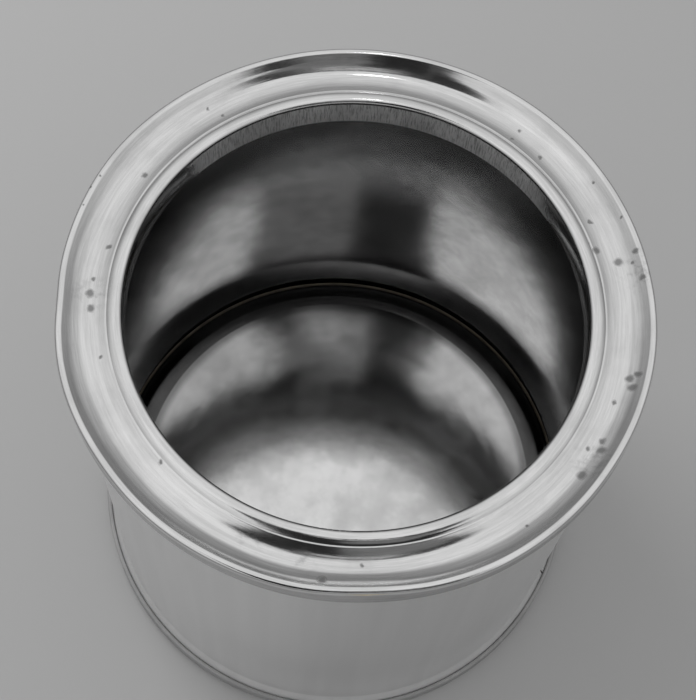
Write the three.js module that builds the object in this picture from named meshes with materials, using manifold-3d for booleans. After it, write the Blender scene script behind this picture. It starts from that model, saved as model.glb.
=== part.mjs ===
// An open tinplate can of the lever-lid kind, as sold with toffee in it.
// Four sheet-metal pieces make the vessel: a rolled body with a soldered side seam, a stamped
// top ring that the lid would press into, and a stamped bottom. Each end is joined to the body
// by a double seam, five layers of sheet folded into each other round a bead of compound.
// Millimetres, +Z up, origin on the floor at the centre of the base.

import * as THREE from 'three';
import { mergeVertices } from 'three/addons/utils/BufferGeometryUtils.js';
import Module from 'manifold-3d';

// Overall sizes
const canHeight = 84.0;
const bodyInnerRadius = 41.7;

// Sheets, and the gap between neighbouring layers
const bodySheet = 0.21;
const endSheet = 0.23;
const sheetGap = 0.05;

// Double seam, the same at both ends
const seamHeight = 3.4;
const seamCrownRadius = 0.42;
const seamFlare = 0.92;
const seamFlareHeight = 2.1;
const chuckHeadOutward = 0.25;
const hookClearance = 0.4;
const compoundRoom = 0.4;
const compoundHalfAngle = THREE.MathUtils.degToRad(20);

// Top ring: the chuck wall with a bend in it, the channel, the neck, the ledge, the curl, the throat
const wallBendRun = 1.105;
const wallHeadTilt = THREE.MathUtils.degToRad(40);
const wallFootTilt = THREE.MathUtils.degToRad(29);
const wallBendFold = 4.0;
const channelDepth = 1.92;
const channelFold = 2.2;
const neckTilt = THREE.MathUtils.degToRad(23);
const neckFold = 7.2;
const neckRun = 1.53;
const neckHeadFold = 0.3;
const ledgeWidth = 0.25;
const ledgeRise = 0.03;
const ledgeFold = 0.2;
const curlSideTilt = THREE.MathUtils.degToRad(32);
const curlFold = 2.3;
const curlWidth = 1.45;
const curlBelowSeam = 0.7;
const throatFold = 0.6;
const throatLength = 5.4;

// Bottom, from its shoulder inwards: a rise to the crest, the panel, a step in it, and its sag
const shoulderRun = 1.405;
const shoulderDepth = 1.9;
const shoulderFold = 0.5;
const crestRun = 4.4;
const crestRise = 0.75;
const crestFold = 0.4;
const panelMarginWidth = 6.6;
const panelStepRun = 1.6;
const panelStepDrop = 0.06;
const panelStepFold = 6.0;
const panelSag = 0.35;
const panelRows = 4;

// Side seam: the lapped edge of the rolled sheet, and the solder in the lap
const sideSeamAngle = THREE.MathUtils.degToRad(345);
const lapWidth = 5.0;
const lapJoggle = 1.2;
const lapFilm = 0.16;
const lapEndClearance = 0.3;
const sheetEdgeGap = 0.3;
const solderFilletRun = 0.7;

// Facets round the can, and the widest turn that one facet of a fold may take
const facets = 48;
const facetAngle = (2 * Math.PI) / facets;
const foldStep = THREE.MathUtils.degToRad(24);

// Centre lines of the five seam layers, from the can's wall outwards
const layerStep = (bodySheet + endSheet) / 2 + sheetGap;
const bodyLine = bodyInnerRadius + bodySheet / 2;
const seamWallLine = bodyLine + seamFlare;
const chuckHeadLine = seamWallLine - layerStep + chuckHeadOutward;
const endHookLine = seamWallLine + layerStep;
const bodyHookLine = endHookLine + layerStep;
const seamOuterLine = bodyHookLine + layerStep;

// Depths below the top of a seam, on the centre lines of the sheets
const seamCrownDepth = endSheet / 2;
const seamFootDepth = seamHeight - endSheet / 2;
const bodyCrownDepth = endSheet + compoundRoom + bodySheet / 2;
const bodyFoldDepth = bodyCrownDepth + layerStep;
const flareStartDepth = seamFootDepth - layerStep;
const flareEndDepth = flareStartDepth + seamFlareHeight;
const bodyHookEndDepth = seamHeight - endSheet - hookClearance;
const endHookEndDepth = bodyCrownDepth + bodySheet / 2 + hookClearance;

const wasm = await Module();
wasm.setup();

// A corner of a folded sheet, seen in section: radius from the axis, height, and its fold
function corner(radius, height, fold = 0) {
  return { point: new THREE.Vector2(radius, height), fold };
}

// The centre line of a folded sheet: straight runs with an arc at each corner that has a fold
function foldedLine(corners) {
  const line = [];
  corners.forEach((here, index) => {
    const isEnd = index === 0 || index === corners.length - 1;
    const points = isEnd || here.fold === 0
      ? [here.point.clone()]
      : foldPoints(corners[index - 1].point, here, corners[index + 1].point);
    for (const point of points) {
      const last = line[line.length - 1];
      if (!last || last.distanceTo(point) > 1e-6) line.push(point);
    }
  });
  return line;
}

// The arc that rounds one corner, between the directions to its two neighbours
function foldPoints(before, here, after) {
  const inward = before.clone().sub(here.point).normalize();
  const outward = after.clone().sub(here.point).normalize();
  const turn = Math.PI - inward.angleTo(outward);
  const tangent = here.fold * Math.tan(turn / 2);
  const bisector = inward.clone().add(outward).normalize();
  const centre = here.point.clone().addScaledVector(bisector, here.fold / Math.cos(turn / 2));
  const start = here.point.clone().addScaledVector(inward, tangent);
  const side = Math.sign(outward.cross(inward));
  const steps = Math.ceil(turn / foldStep - 1e-6);
  const points = [];
  for (let step = 0; step <= steps; step += 1) {
    points.push(start.clone().rotateAround(centre, (side * turn * step) / steps));
  }
  return points;
}

// A line moved sideways by a distance, with its corners mitred
function offsetLine(line, distance) {
  return line.map((point, index) => {
    const before = line[Math.max(index - 1, 0)];
    const after = line[Math.min(index + 1, line.length - 1)];
    const arriving = index === 0 ? after.clone().sub(point) : point.clone().sub(before);
    const leaving = index === line.length - 1 ? arriving.clone() : after.clone().sub(point);
    const normal = leftOf(arriving).add(leftOf(leaving)).normalize();
    const mitre = distance / normal.dot(leftOf(arriving));
    return point.clone().addScaledVector(normal, mitre);
  });
}

// The unit vector at the left hand of a direction
function leftOf(direction) {
  return new THREE.Vector2(-direction.y, direction.x).normalize();
}

// The section of a sheet: its centre line thickened to both sides
function sheetSection(line, thickness) {
  const left = offsetLine(line, thickness / 2);
  const right = offsetLine(line, -thickness / 2);
  const section = [...right.reverse(), ...left];
  if (THREE.ShapeUtils.area(section) < 0) section.reverse();
  const endsOnAxis = line[line.length - 1].x === 0;
  if (!endsOnAxis) section.push(section[0].clone());
  return section;
}

// A section turned round the can's axis
function revolved(section) {
  return new THREE.LatheGeometry(section, facets).rotateX(Math.PI / 2);
}

// Corners that were written as depths below a seam, placed at the top or the bottom of the can
function atTop(corners) {
  return corners.map(({ point, fold }) => corner(point.x, canHeight - point.y, fold));
}

function atBottom(corners) {
  return corners.map(({ point, fold }) => corner(point.x, point.y, fold));
}

// Any closed geometry as a solid for the boolean cuts, and back
function solidOf(geometry) {
  const bare = geometry.clone();
  bare.deleteAttribute('normal');
  bare.deleteAttribute('uv');
  const merged = mergeVertices(bare, 1e-4);
  const vertProperties = new Float32Array(merged.attributes.position.array);
  const triVerts = new Uint32Array(merged.index.array);
  return new wasm.Manifold(new wasm.Mesh({ numProp: 3, vertProperties, triVerts }));
}

function geometryOf(solid) {
  const mesh = solid.getMesh();
  const geometry = new THREE.BufferGeometry();
  geometry.setAttribute('position', new THREE.BufferAttribute(mesh.vertProperties, 3));
  geometry.setIndex(new THREE.BufferAttribute(mesh.triVerts, 1));
  geometry.computeVertexNormals();
  return geometry;
}

// The edge of an end piece, from its hook round the seam to the head of its chuck wall
function seamedEdge() {
  return [
    corner(endHookLine, endHookEndDepth),
    corner(endHookLine, seamFootDepth, layerStep),
    corner(seamOuterLine, seamFootDepth, layerStep),
    corner(seamOuterLine, seamCrownDepth, seamCrownRadius),
    corner(chuckHeadLine, seamCrownDepth, seamCrownRadius),
  ];
}

// The edge of the body sheet, from its hook over the top and in below the seam to the wall
function flangedEdge() {
  return [
    corner(bodyHookLine, bodyHookEndDepth),
    corner(bodyHookLine, bodyCrownDepth, layerStep),
    corner(seamWallLine, bodyCrownDepth, layerStep),
    corner(seamWallLine, flareStartDepth),
    corner(bodyLine, flareEndDepth),
  ];
}

// Heights and angles of the lap, which keeps to the straight wall clear of both seams
const lapBottom = Math.max(seamHeight, flareEndDepth) + lapEndClearance;
const lapHeight = canHeight - 2 * lapBottom;
const wallOuterRadius = bodyInnerRadius + bodySheet;
const lapInnerRadius = wallOuterRadius + lapFilm;
const lapOuterRadius = lapInnerRadius + bodySheet;
const lapStartAngle = sideSeamAngle - lapWidth / wallOuterRadius / 2;
const lapEndAngle = sideSeamAngle + lapWidth / wallOuterRadius / 2;
const edgeGapAngle = sheetEdgeGap / wallOuterRadius;

// A point in plan on the faceted wall, at a radius measured at the facets' corners
function wallPoint(radius, angle) {
  const intoFacet = THREE.MathUtils.euclideanModulo(angle, facetAngle) - facetAngle / 2;
  const reach = (radius * Math.cos(facetAngle / 2)) / Math.cos(intoFacet);
  return new THREE.Vector2(reach * Math.cos(angle), reach * Math.sin(angle));
}

// The points along the faceted wall from one angle to another, with each facet's corner
function wallRun(radius, from, to) {
  const run = [wallPoint(radius, from)];
  const firstCorner = Math.floor(from / facetAngle) + 1;
  for (let angle = firstCorner * facetAngle; angle < to - 1e-6; angle += facetAngle) {
    run.push(wallPoint(radius, angle));
  }
  run.push(wallPoint(radius, to));
  return run;
}

// A plan outline raised to the height of the lap
function raisedLap(outline) {
  const shape = new THREE.Shape(outline);
  const geometry = new THREE.ExtrudeGeometry(shape, { depth: lapHeight, bevelEnabled: false });
  return geometry.translate(0, 0, lapBottom);
}

// The outer edge of the rolled sheet, joggled outwards to lie over the inner edge
function lapFlap() {
  const root = (bodyInnerRadius + wallOuterRadius) / 2;
  const joggleAngle = lapStartAngle - lapJoggle / wallOuterRadius;
  return raisedLap([
    wallPoint(root, joggleAngle),
    wallPoint(wallOuterRadius, joggleAngle),
    ...wallRun(lapOuterRadius, lapStartAngle, lapEndAngle),
    ...wallRun(lapInnerRadius, lapStartAngle, lapEndAngle).reverse(),
    wallPoint(root, lapStartAngle),
  ]);
}

// The slot between the two edges of the rolled sheet, under the lap
function sheetEdgeSlot() {
  const reach = seamOuterLine - bodyInnerRadius;
  const geometry = new THREE.BoxGeometry(2 * reach, sheetEdgeGap, 2 * canHeight);
  geometry.translate(bodyInnerRadius + reach / 2, 0, canHeight / 2);
  return geometry.rotateZ(lapStartAngle + edgeGapAngle);
}

function bodyWallGeometry() {
  const foot = atBottom(flangedEdge());
  const head = atTop(flangedEdge()).reverse();
  const tube = solidOf(revolved(sheetSection(foldedLine([...foot, ...head]), bodySheet)));
  return geometryOf(tube.subtract(solidOf(sheetEdgeSlot())).add(solidOf(lapFlap())));
}

// Solder drawn into the lap, with a fillet along the edge of the outer sheet
function sideSeamSolderGeometry() {
  const filmInner = wallOuterRadius + sheetGap;
  const filmOuter = lapInnerRadius - sheetGap;
  const start = lapStartAngle + 2 * edgeGapAngle;
  const pastEdge = lapEndAngle + sheetGap / wallOuterRadius;
  const filletEnd = lapEndAngle + solderFilletRun / wallOuterRadius;
  return raisedLap([
    ...wallRun(filmInner, start, filletEnd),
    wallPoint(lapOuterRadius, pastEdge),
    ...wallRun(filmOuter, start, pastEdge).reverse(),
  ]);
}

// The top ring: its chuck wall runs into a channel, and the neck rises from that to the curl
function topRingGeometry() {
  const wallBend = chuckHeadLine - wallBendRun;
  const bendDepth = seamCrownDepth + wallBendRun * Math.tan(wallHeadTilt);
  const wallFoot = wallBend - (channelDepth - bendDepth) / Math.tan(wallFootTilt);
  const channelLine = wallFoot - channelFold * Math.tan(wallFootTilt / 2);
  const neckFoot = channelLine - neckFold * Math.tan(neckTilt / 2);
  const neckHead = neckFoot - neckRun;
  const neckHeadDepth = channelDepth - neckRun * Math.tan(neckTilt);
  const ledgeInner = neckHead - ledgeWidth;
  const ledgeDepth = neckHeadDepth - ledgeRise;
  const curlDepth = curlBelowSeam + endSheet / 2;
  const curlOuter = ledgeInner - (ledgeDepth - curlDepth) / Math.tan(curlSideTilt);
  const throatLine = curlOuter - curlWidth;
  const corners = [
    ...seamedEdge(),
    corner(wallBend, bendDepth, wallBendFold),
    corner(wallFoot, channelDepth, channelFold),
    corner(neckFoot, channelDepth, neckFold),
    corner(neckHead, neckHeadDepth, neckHeadFold),
    corner(ledgeInner, ledgeDepth, ledgeFold),
    corner(curlOuter, curlDepth, curlFold),
    corner(throatLine, curlDepth, throatFold),
    corner(throatLine, curlBelowSeam + throatLength),
  ];
  return revolved(sheetSection(foldedLine(atTop(corners)), endSheet));
}

// The bottom: a shoulder, a rise inwards to the crest, then a panel that steps and sags
function bottomEndGeometry() {
  const shoulder = chuckHeadLine - shoulderRun;
  const crest = shoulder - crestRun;
  const panelHeight = shoulderDepth + crestRise;
  const stepOuter = crest - panelMarginWidth;
  const stepInner = stepOuter - panelStepRun;
  const centreHeight = panelHeight - panelStepDrop;
  const edgeSlope = (2 * panelSag) / stepInner;
  const rows = [];
  for (let row = 1; row <= panelRows; row += 1) {
    const share = row / panelRows;
    const sag = panelSag * (1 - (1 - share) ** 2);
    rows.push(corner(stepInner * (1 - share), centreHeight - sag));
  }
  const corners = [
    ...seamedEdge(),
    corner(shoulder, shoulderDepth, shoulderFold),
    corner(crest, panelHeight + panelMarginWidth * edgeSlope, crestFold),
    corner(stepOuter, panelHeight, panelStepFold),
    corner(stepInner, centreHeight, panelStepFold),
    ...rows,
  ];
  return revolved(sheetSection(foldedLine(atBottom(corners)), endSheet));
}

// Sealing compound: a bead between the crown of the seam and the fold of the body sheet
function compoundCorners() {
  const inner = layerStep + bodySheet / 2 + sheetGap;
  const outer = bodyFoldDepth - endSheet - sheetGap;
  const across = [-compoundHalfAngle, 0, compoundHalfAngle];
  const arc = (radius) => across.map((angle) => corner(
    endHookLine + radius * Math.sin(angle),
    bodyFoldDepth - radius * Math.cos(angle),
  ));
  return [...arc(inner), ...arc(outer).reverse()];
}

function compoundGeometry(place) {
  const section = place(compoundCorners()).map(({ point }) => point);
  if (THREE.ShapeUtils.area(section) < 0) section.reverse();
  section.push(section[0].clone());
  return revolved(section);
}

// Materials
const bodyTinplate = new THREE.MeshStandardMaterial({
  color: 0xc9cacb, roughness: 0.22, metalness: 1,
});
const ringTinplate = new THREE.MeshStandardMaterial({
  color: 0xdcdddd, roughness: 0.16, metalness: 1,
});
const bottomTinplate = new THREE.MeshStandardMaterial({
  color: 0xc4c5c6, roughness: 0.26, metalness: 1,
});
const solder = new THREE.MeshStandardMaterial({
  color: 0xa6a8aa, roughness: 0.45, metalness: 1,
});
const compound = new THREE.MeshStandardMaterial({
  color: 0xb8ad98, roughness: 0.85, metalness: 0,
});

function named(name, geometry, material) {
  const mesh = new THREE.Mesh(geometry, material);
  mesh.name = name;
  return mesh;
}

// The can
const can = new THREE.Group();
can.add(
  named('body_wall', bodyWallGeometry(), bodyTinplate),
  named('side_seam_solder', sideSeamSolderGeometry(), solder),
  named('top_ring', topRingGeometry(), ringTinplate),
  named('bottom_end', bottomEndGeometry(), bottomTinplate),
  named('top_seam_compound', compoundGeometry(atTop), compound),
  named('bottom_seam_compound', compoundGeometry(atBottom), compound.clone()),
);

export default can;
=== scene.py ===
# %% [markdown]
# # An open can of bare tinplate
# A can of this kind is three pieces of thin tinned steel. A rolled body with a lapped side seam
# stands between a stamped bottom and a stamped ring with a wide mouth, and both stampings are
# folded onto the body in double seams. Solder fills the side seam, and a bead of compound seals
# each double seam. The lesson models the sheets as a can maker makes them: a line is drawn for
# the middle of each sheet, turned round the axis, and given its thickness. Everything is in
# metres, with +Z up and the can standing at the origin.

# %% Load the frame
import bmesh
import bpy
import math
from mathutils import Matrix, Vector, noise


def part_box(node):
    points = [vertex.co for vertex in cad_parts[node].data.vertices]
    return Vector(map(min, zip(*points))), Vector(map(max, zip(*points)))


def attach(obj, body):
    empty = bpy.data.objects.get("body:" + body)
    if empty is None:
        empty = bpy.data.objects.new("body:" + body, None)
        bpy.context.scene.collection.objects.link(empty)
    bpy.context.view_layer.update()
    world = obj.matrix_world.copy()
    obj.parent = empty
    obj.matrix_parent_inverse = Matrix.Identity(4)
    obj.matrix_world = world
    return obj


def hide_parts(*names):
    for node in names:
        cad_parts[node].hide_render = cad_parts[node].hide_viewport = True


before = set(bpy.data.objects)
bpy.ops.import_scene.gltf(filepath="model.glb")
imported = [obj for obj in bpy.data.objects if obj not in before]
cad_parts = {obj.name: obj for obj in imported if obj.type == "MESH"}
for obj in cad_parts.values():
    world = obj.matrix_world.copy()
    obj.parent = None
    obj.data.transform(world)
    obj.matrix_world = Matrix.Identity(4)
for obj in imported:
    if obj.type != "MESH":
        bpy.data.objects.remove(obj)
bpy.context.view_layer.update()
print("nodes in the frame:", sorted(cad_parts))

# %% [markdown]
# ## Sizes of the sheets and of the double seam
# The overall sizes come from the frame. In a double seam the end sheet goes up the outside, over
# the crown and in to the chuck wall, and under the crown the end's hook and the body's flange are
# folded into each other. Each layer could be given a radius of its own. Here all of them are set
# out from the seam's outer radius by one step, so they can never touch. Below the seam the body
# is drawn in to its own smaller radius.

# %% Sheet and seam sizes
MM = 0.001
CAN_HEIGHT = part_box("top_ring")[1][2]
SEAM_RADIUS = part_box("top_ring")[1][0]
BODY_SHEET = 0.21 * MM
END_SHEET = 0.23 * MM
SHEET_GAP = 0.05 * MM
SEAM_HEIGHT = 3.4 * MM
SEAM_CROWN_FOLD = 0.42 * MM
SEAM_FLARE = 0.92 * MM
SEAM_FLARE_HEIGHT = 2.1 * MM
COMPOUND_ROOM = 0.4 * MM
HOOK_CLEARANCE = 0.4 * MM
CHUCK_HEAD_OUTWARD = 0.25 * MM

LAYER_STEP = (BODY_SHEET + END_SHEET) / 2 + SHEET_GAP
OUTER_LINE = SEAM_RADIUS - END_SHEET / 2
BODY_HOOK_LINE = OUTER_LINE - LAYER_STEP
END_HOOK_LINE = BODY_HOOK_LINE - LAYER_STEP
SEAM_WALL_LINE = END_HOOK_LINE - LAYER_STEP
CHUCK_LINE = SEAM_WALL_LINE - LAYER_STEP
CHUCK_HEAD_LINE = CHUCK_LINE + CHUCK_HEAD_OUTWARD
BODY_LINE = SEAM_WALL_LINE - SEAM_FLARE

CROWN_DEPTH = END_SHEET / 2
SEAM_FOOT_DEPTH = SEAM_HEIGHT - END_SHEET / 2
BODY_CROWN_DEPTH = END_SHEET + COMPOUND_ROOM + BODY_SHEET / 2
FLARE_START_DEPTH = SEAM_FOOT_DEPTH - LAYER_STEP
FLARE_END_DEPTH = FLARE_START_DEPTH + SEAM_FLARE_HEIGHT
print(f"can {CAN_HEIGHT / MM:.1f} mm high, seam radius {SEAM_RADIUS / MM:.2f} mm,"
      f" body wall at {BODY_LINE / MM:.2f} mm")

# %% [markdown]
# ## Camera
# The camera looks down into the can from the front, close enough for the perspective to show. It
# is aimed at a point near the mouth and leans a little to one side. Its place and its lens were
# chosen so that the ovals of the rim, the mouth and the foot fall where the photograph has them.

# %% Camera
CAMERA_PLACE = Vector((0, -95.83, 289.16)) * MM
LOOK_AT = Vector((-0.584, -7.696, 83.85)) * MM
CAMERA_ROLL = math.radians(6.493)
FOCAL_PIXELS = 1567
FRAME_LONG_SIDE = 700
SENSOR_WIDTH = 36
NEAREST_SEEN = 0.01

camera_data = bpy.data.cameras.new("camera")
camera_data.sensor_width = SENSOR_WIDTH
camera_data.lens = SENSOR_WIDTH * FOCAL_PIXELS / FRAME_LONG_SIDE
camera_data.clip_start = NEAREST_SEEN
camera = bpy.data.objects.new("camera", camera_data)
bpy.context.collection.objects.link(camera)
aim = (LOOK_AT - CAMERA_PLACE).to_track_quat("-Z", "Y").to_matrix().to_4x4()
roll = Matrix.Rotation(CAMERA_ROLL, 4, "Z")
camera.matrix_world = Matrix.Translation(CAMERA_PLACE) @ aim @ roll
bpy.context.scene.camera = camera
bpy.context.scene.view_settings.view_transform = "Standard"
print(f"camera {(LOOK_AT - CAMERA_PLACE).length / MM:.0f} mm from the point it is aimed at")

# %% [markdown]
# ## Drawing the middle line of a sheet
# A folded sheet seen in section is a line with rounded corners. It could be drawn by hand as a
# curve, but then a size is hard to change. Here each corner is written as its radius from the
# axis, its height or depth, and the radius of its fold, and a helper replaces the corner by an
# arc, which is the shape that a press tool leaves.

# %% Folded line helpers
FOLD_STEP = math.radians(6)
FEWEST_FOLD_STEPS = 2
SAME_POINT = 1e-6


def fold_points(before, here, after, fold):
    """The arc that rounds the corner here between its neighbours."""
    inward = (before - here).normalized()
    outward = (after - here).normalized()
    turn = math.pi - inward.angle(outward)
    centre = here + (inward + outward).normalized() * (fold / math.cos(turn / 2))
    start = here + inward * (fold * math.tan(turn / 2)) - centre
    side = 1 if inward.x * outward.y - inward.y * outward.x < 0 else -1
    steps = max(FEWEST_FOLD_STEPS, math.ceil(turn / FOLD_STEP))
    arc = []
    for step in range(steps + 1):
        turned = Matrix.Rotation(side * turn * step / steps, 2) @ start
        arc.append(centre + turned)
    return arc


def folded_line(corners):
    """Points of the line through the corners (radius, height, fold), folds rounded."""
    places = [Vector(corner[:2]) for corner in corners]
    line = []
    for index, corner in enumerate(corners):
        fold = corner[2]
        if fold == 0 or index in (0, len(corners) - 1):
            points = [places[index]]
        else:
            points = fold_points(places[index - 1], places[index], places[index + 1], fold)
        for point in points:
            if not line or (line[-1] - point).length > SAME_POINT:
                line.append(point)
    return line


def at_top(corners):
    """Corners with depths below the top of the can turned into heights."""
    return [(radius, CAN_HEIGHT - depth, fold) for radius, depth, fold in corners]


# %% [markdown]
# ## Turning the line and giving it its thickness
# The line becomes a chain of edges in the plane of one azimuth and is spun round the axis. Both
# faces of the sheet could be drawn and spun, but their folds would have to be kept parallel by
# hand. Here only the middle of the sheet is swept. Solidify then thickens it evenly to both
# sides, and a tiny bevel breaks the raw edges, so that they catch the light as cut tinplate does.

# %% Spin and finish helpers
SEGMENTS = 288
ROUND_THE_AXIS = {"cent": (0, 0, 0), "axis": (0, 0, 1)}
RAW_EDGE_BEVEL = 0.03 * MM
RAW_EDGE_STEPS = 2
RAW_EDGE_ANGLE = math.radians(50)


def polar(radius, azimuth, height):
    """The place at a radius from the axis, an azimuth and a height."""
    return radius * math.cos(azimuth), radius * math.sin(azimuth), height


def chain(bm, line, azimuth=0.0):
    """A chain of edges along the line, standing in the plane at the azimuth."""
    verts = [bm.verts.new(polar(point.x, azimuth, point.y)) for point in line]
    edges = [bm.edges.new(pair) for pair in zip(verts, verts[1:])]
    return verts, edges


def spin_full(bm, verts, edges):
    """A full turn of the chain, closed on itself."""
    bmesh.ops.spin(bm, geom=verts + edges, angle=2 * math.pi, steps=SEGMENTS, use_merge=True,
                   **ROUND_THE_AXIS)
    bmesh.ops.remove_doubles(bm, verts=bm.verts, dist=SAME_POINT)


def piece_from(bm, name, material):
    """The mesh as a smooth piece with one material."""
    mesh = bpy.data.meshes.new(name)
    bm.to_mesh(mesh)
    bm.free()
    mesh.shade_smooth()
    mesh.materials.append(material)
    piece = bpy.data.objects.new(name, mesh)
    bpy.context.collection.objects.link(piece)
    return piece


def sheet_piece(bm, name, thickness, material):
    """The swept surface as a closed sheet of the given thickness."""
    bmesh.ops.recalc_face_normals(bm, faces=bm.faces)
    piece = piece_from(bm, name, material)
    wall = piece.modifiers.new("wall", "SOLIDIFY")
    wall.thickness = thickness
    wall.offset = 0
    wall.use_even_offset = True
    edge = piece.modifiers.new("raw edge", "BEVEL")
    edge.width = RAW_EDGE_BEVEL
    edge.segments = RAW_EDGE_STEPS
    edge.limit_method = "ANGLE"
    edge.angle_limit = RAW_EDGE_ANGLE
    finished = piece.evaluated_get(bpy.context.evaluated_depsgraph_get())
    triangles = sum(len(face.vertices) - 2 for face in finished.to_mesh().polygons)
    finished.to_mesh_clear()
    print(f"{name}: {triangles} triangles")
    return piece


# %% [markdown]
# ## Dents
# A can that has been opened and closed for years is no longer round. Its rim has been pushed in
# at the front and at the left, and stands a little proud beside those places. The crown has moved
# most and the seam's foot about a quarter as far, so the seam leans. Dents could be pushed in with
# a sculpting brush. Here one function moves every vertex, by its place alone, so the folded layers
# stay nested in each other.

# %% Dent field
# The whole rim is drawn in a little, so that its proud places do not pass the frame's box
RIM_SHRINK = -0.13 * MM
# Azimuth in degrees, how far the rim moves out in millimetres, and half the width in degrees
RIM_DENTS = (
    (0, 0.13, 12), (85, -0.08, 30), (152, 0.30, 16), (187, -0.22, 6), (206, 0.36, 14),
    (234, 0.18, 12), (278, -0.40, 10), (303, 0.10, 8), (332, -0.10, 9),
)
DENT_REACH_DOWN = 5 * MM
DENT_INNER_RADIUS = 35 * MM
DENT_OUTER_RADIUS = 41.5 * MM


def smooth_share(value, low, high):
    """0 below low, 1 above high, and a smooth rise between."""
    share = min(max((value - low) / (high - low), 0), 1)
    return share * share * (3 - 2 * share)


def angle_between(first, second):
    """The turn from the second azimuth to the first, in degrees, the short way round."""
    return (first - second + 180) % 360 - 180


def dent(bm):
    """Moves the vertices near the rim in or out."""
    largest = 0.0
    for vert in bm.verts:
        radius = math.hypot(vert.co.x, vert.co.y)
        if radius < DENT_INNER_RADIUS:
            continue
        azimuth = math.degrees(math.atan2(vert.co.y, vert.co.x))
        move = RIM_SHRINK
        for place, depth, width in RIM_DENTS:
            move += depth * MM * math.exp(-(angle_between(azimuth, place) / width) ** 2)
        move *= smooth_share(vert.co.z, CAN_HEIGHT - DENT_REACH_DOWN, CAN_HEIGHT)
        move *= smooth_share(radius, DENT_INNER_RADIUS, DENT_OUTER_RADIUS)
        largest = max(largest, abs(move))
        scale = (radius + move) / radius
        vert.co.x *= scale
        vert.co.y *= scale
    print(f"rim moved by up to {largest / MM:.2f} mm")


# %% [markdown]
# ## Nodes for tinplate
# Tin is a soft, bright metal, and new tinplate is nearly a mirror. What gives it away is what
# disturbs the mirror: the sheet is slightly wavy, the press leaves fine rings or draw marks, and
# age leaves grey bloom and small dark specks. The nodes could be laid out by hand in the shader
# editor. Small helpers keep the long chains readable. The first ones make a material and do sums.

# %% Material and arithmetic nodes


def new_material(name):
    """An empty node material with its shader."""
    material = bpy.data.materials.new(name)
    material.use_nodes = True
    tree = material.node_tree
    tree.nodes.clear()
    output = tree.nodes.new("ShaderNodeOutputMaterial")
    shader = tree.nodes.new("ShaderNodeBsdfPrincipled")
    tree.links.new(shader.outputs["BSDF"], output.inputs["Surface"])
    print("material:", name)
    return material, tree, shader


def feed(tree, socket, value):
    """Sets the socket to plain numbers, or links a node's value to it."""
    if isinstance(value, (int, float, tuple)):
        socket.default_value = value
    else:
        tree.links.new(value, socket)


def maths(tree, operation, first, second=0.0):
    """One step of arithmetic on two values, either of which may be a number."""
    node = tree.nodes.new("ShaderNodeMath")
    node.operation = operation
    feed(tree, node.inputs[0], first)
    feed(tree, node.inputs[1], second)
    return node.outputs["Value"]


def times(tree, first, *others):
    """All the values multiplied together."""
    product = first
    for value in others:
        product = maths(tree, "MULTIPLY", product, value)
    return product


def highest(tree, first, *others):
    """The highest of the values."""
    found = first
    for value in others:
        found = maths(tree, "MAXIMUM", found, value)
    return found


def mixed(tree, first, second, share):
    """The first value where the share is 0, the second where it is 1, and a mix between."""
    rest = maths(tree, "SUBTRACT", 1, share)
    return maths(tree, "ADD", times(tree, first, rest), times(tree, second, share))


# %% [markdown]
# ## Places on the can
# Marks on a round stamping run round it. A texture can be bent to that by unwrapping the piece.
# These helpers work from the place on the object instead, so the marks need no seam and stay put
# when the can moves.

# %% Place nodes


def object_place(tree):
    """The point's place on the object."""
    return tree.nodes.new("ShaderNodeTexCoord").outputs["Object"]


def split(tree, vector):
    """The three parts of a vector."""
    node = tree.nodes.new("ShaderNodeSeparateXYZ")
    tree.links.new(vector, node.inputs["Vector"])
    return [node.outputs[axis] for axis in "XYZ"]


def joined(tree, *parts):
    """Three values as a vector."""
    node = tree.nodes.new("ShaderNodeCombineXYZ")
    for axis, value in zip("XYZ", parts):
        feed(tree, node.inputs[axis], value)
    return node.outputs["Vector"]


def grey_from(tree, value):
    """A grey of the given value."""
    return joined(tree, value, value, value)


def radius_of(tree, place):
    """The distance from the can's axis."""
    x, y = split(tree, place)[:2]
    return maths(tree, "SQRT", maths(tree, "ADD", times(tree, x, x), times(tree, y, y)))


def round_place(tree, around, across, upward):
    """A place made of direction, radius and height, each stretched, for marks that run round."""
    place = object_place(tree)
    x, y, z = split(tree, place)
    radius = radius_of(tree, place)
    return joined(
        tree,
        times(tree, maths(tree, "DIVIDE", x, radius), around),
        times(tree, maths(tree, "DIVIDE", y, radius), around),
        maths(tree, "ADD", times(tree, radius, across), times(tree, z, upward)),
    )


# %% [markdown]
# ## Clouds, ranges and bumps
# Wear on metal has no sharp pattern, so a noise texture stands for nearly all of it. Its value is
# stretched to the range that a tone, a roughness or a height needs, and a height becomes a bump.

# %% Cloud, range and bump nodes
# Nearly all of a cloud's values lie between these two
CLOUD_RANGE = (0.3, 0.7)


def cloud(tree, place, scale, detail, roughness):
    """A noise value round 0.5."""
    node = tree.nodes.new("ShaderNodeTexNoise")
    node.inputs["Scale"].default_value = scale
    node.inputs["Detail"].default_value = detail
    node.inputs["Roughness"].default_value = roughness
    tree.links.new(place, node.inputs["Vector"])
    return node.outputs["Fac"]


def remap(tree, value, low, high, new_low, new_high):
    """The value stretched smoothly from one range to another, and held to it."""
    node = tree.nodes.new("ShaderNodeMapRange")
    node.interpolation_type = "SMOOTHSTEP"
    node.inputs["From Min"].default_value = low
    node.inputs["From Max"].default_value = high
    node.inputs["To Min"].default_value = new_low
    node.inputs["To Max"].default_value = new_high
    tree.links.new(value, node.inputs["Value"])
    return node.outputs["Result"]


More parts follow.
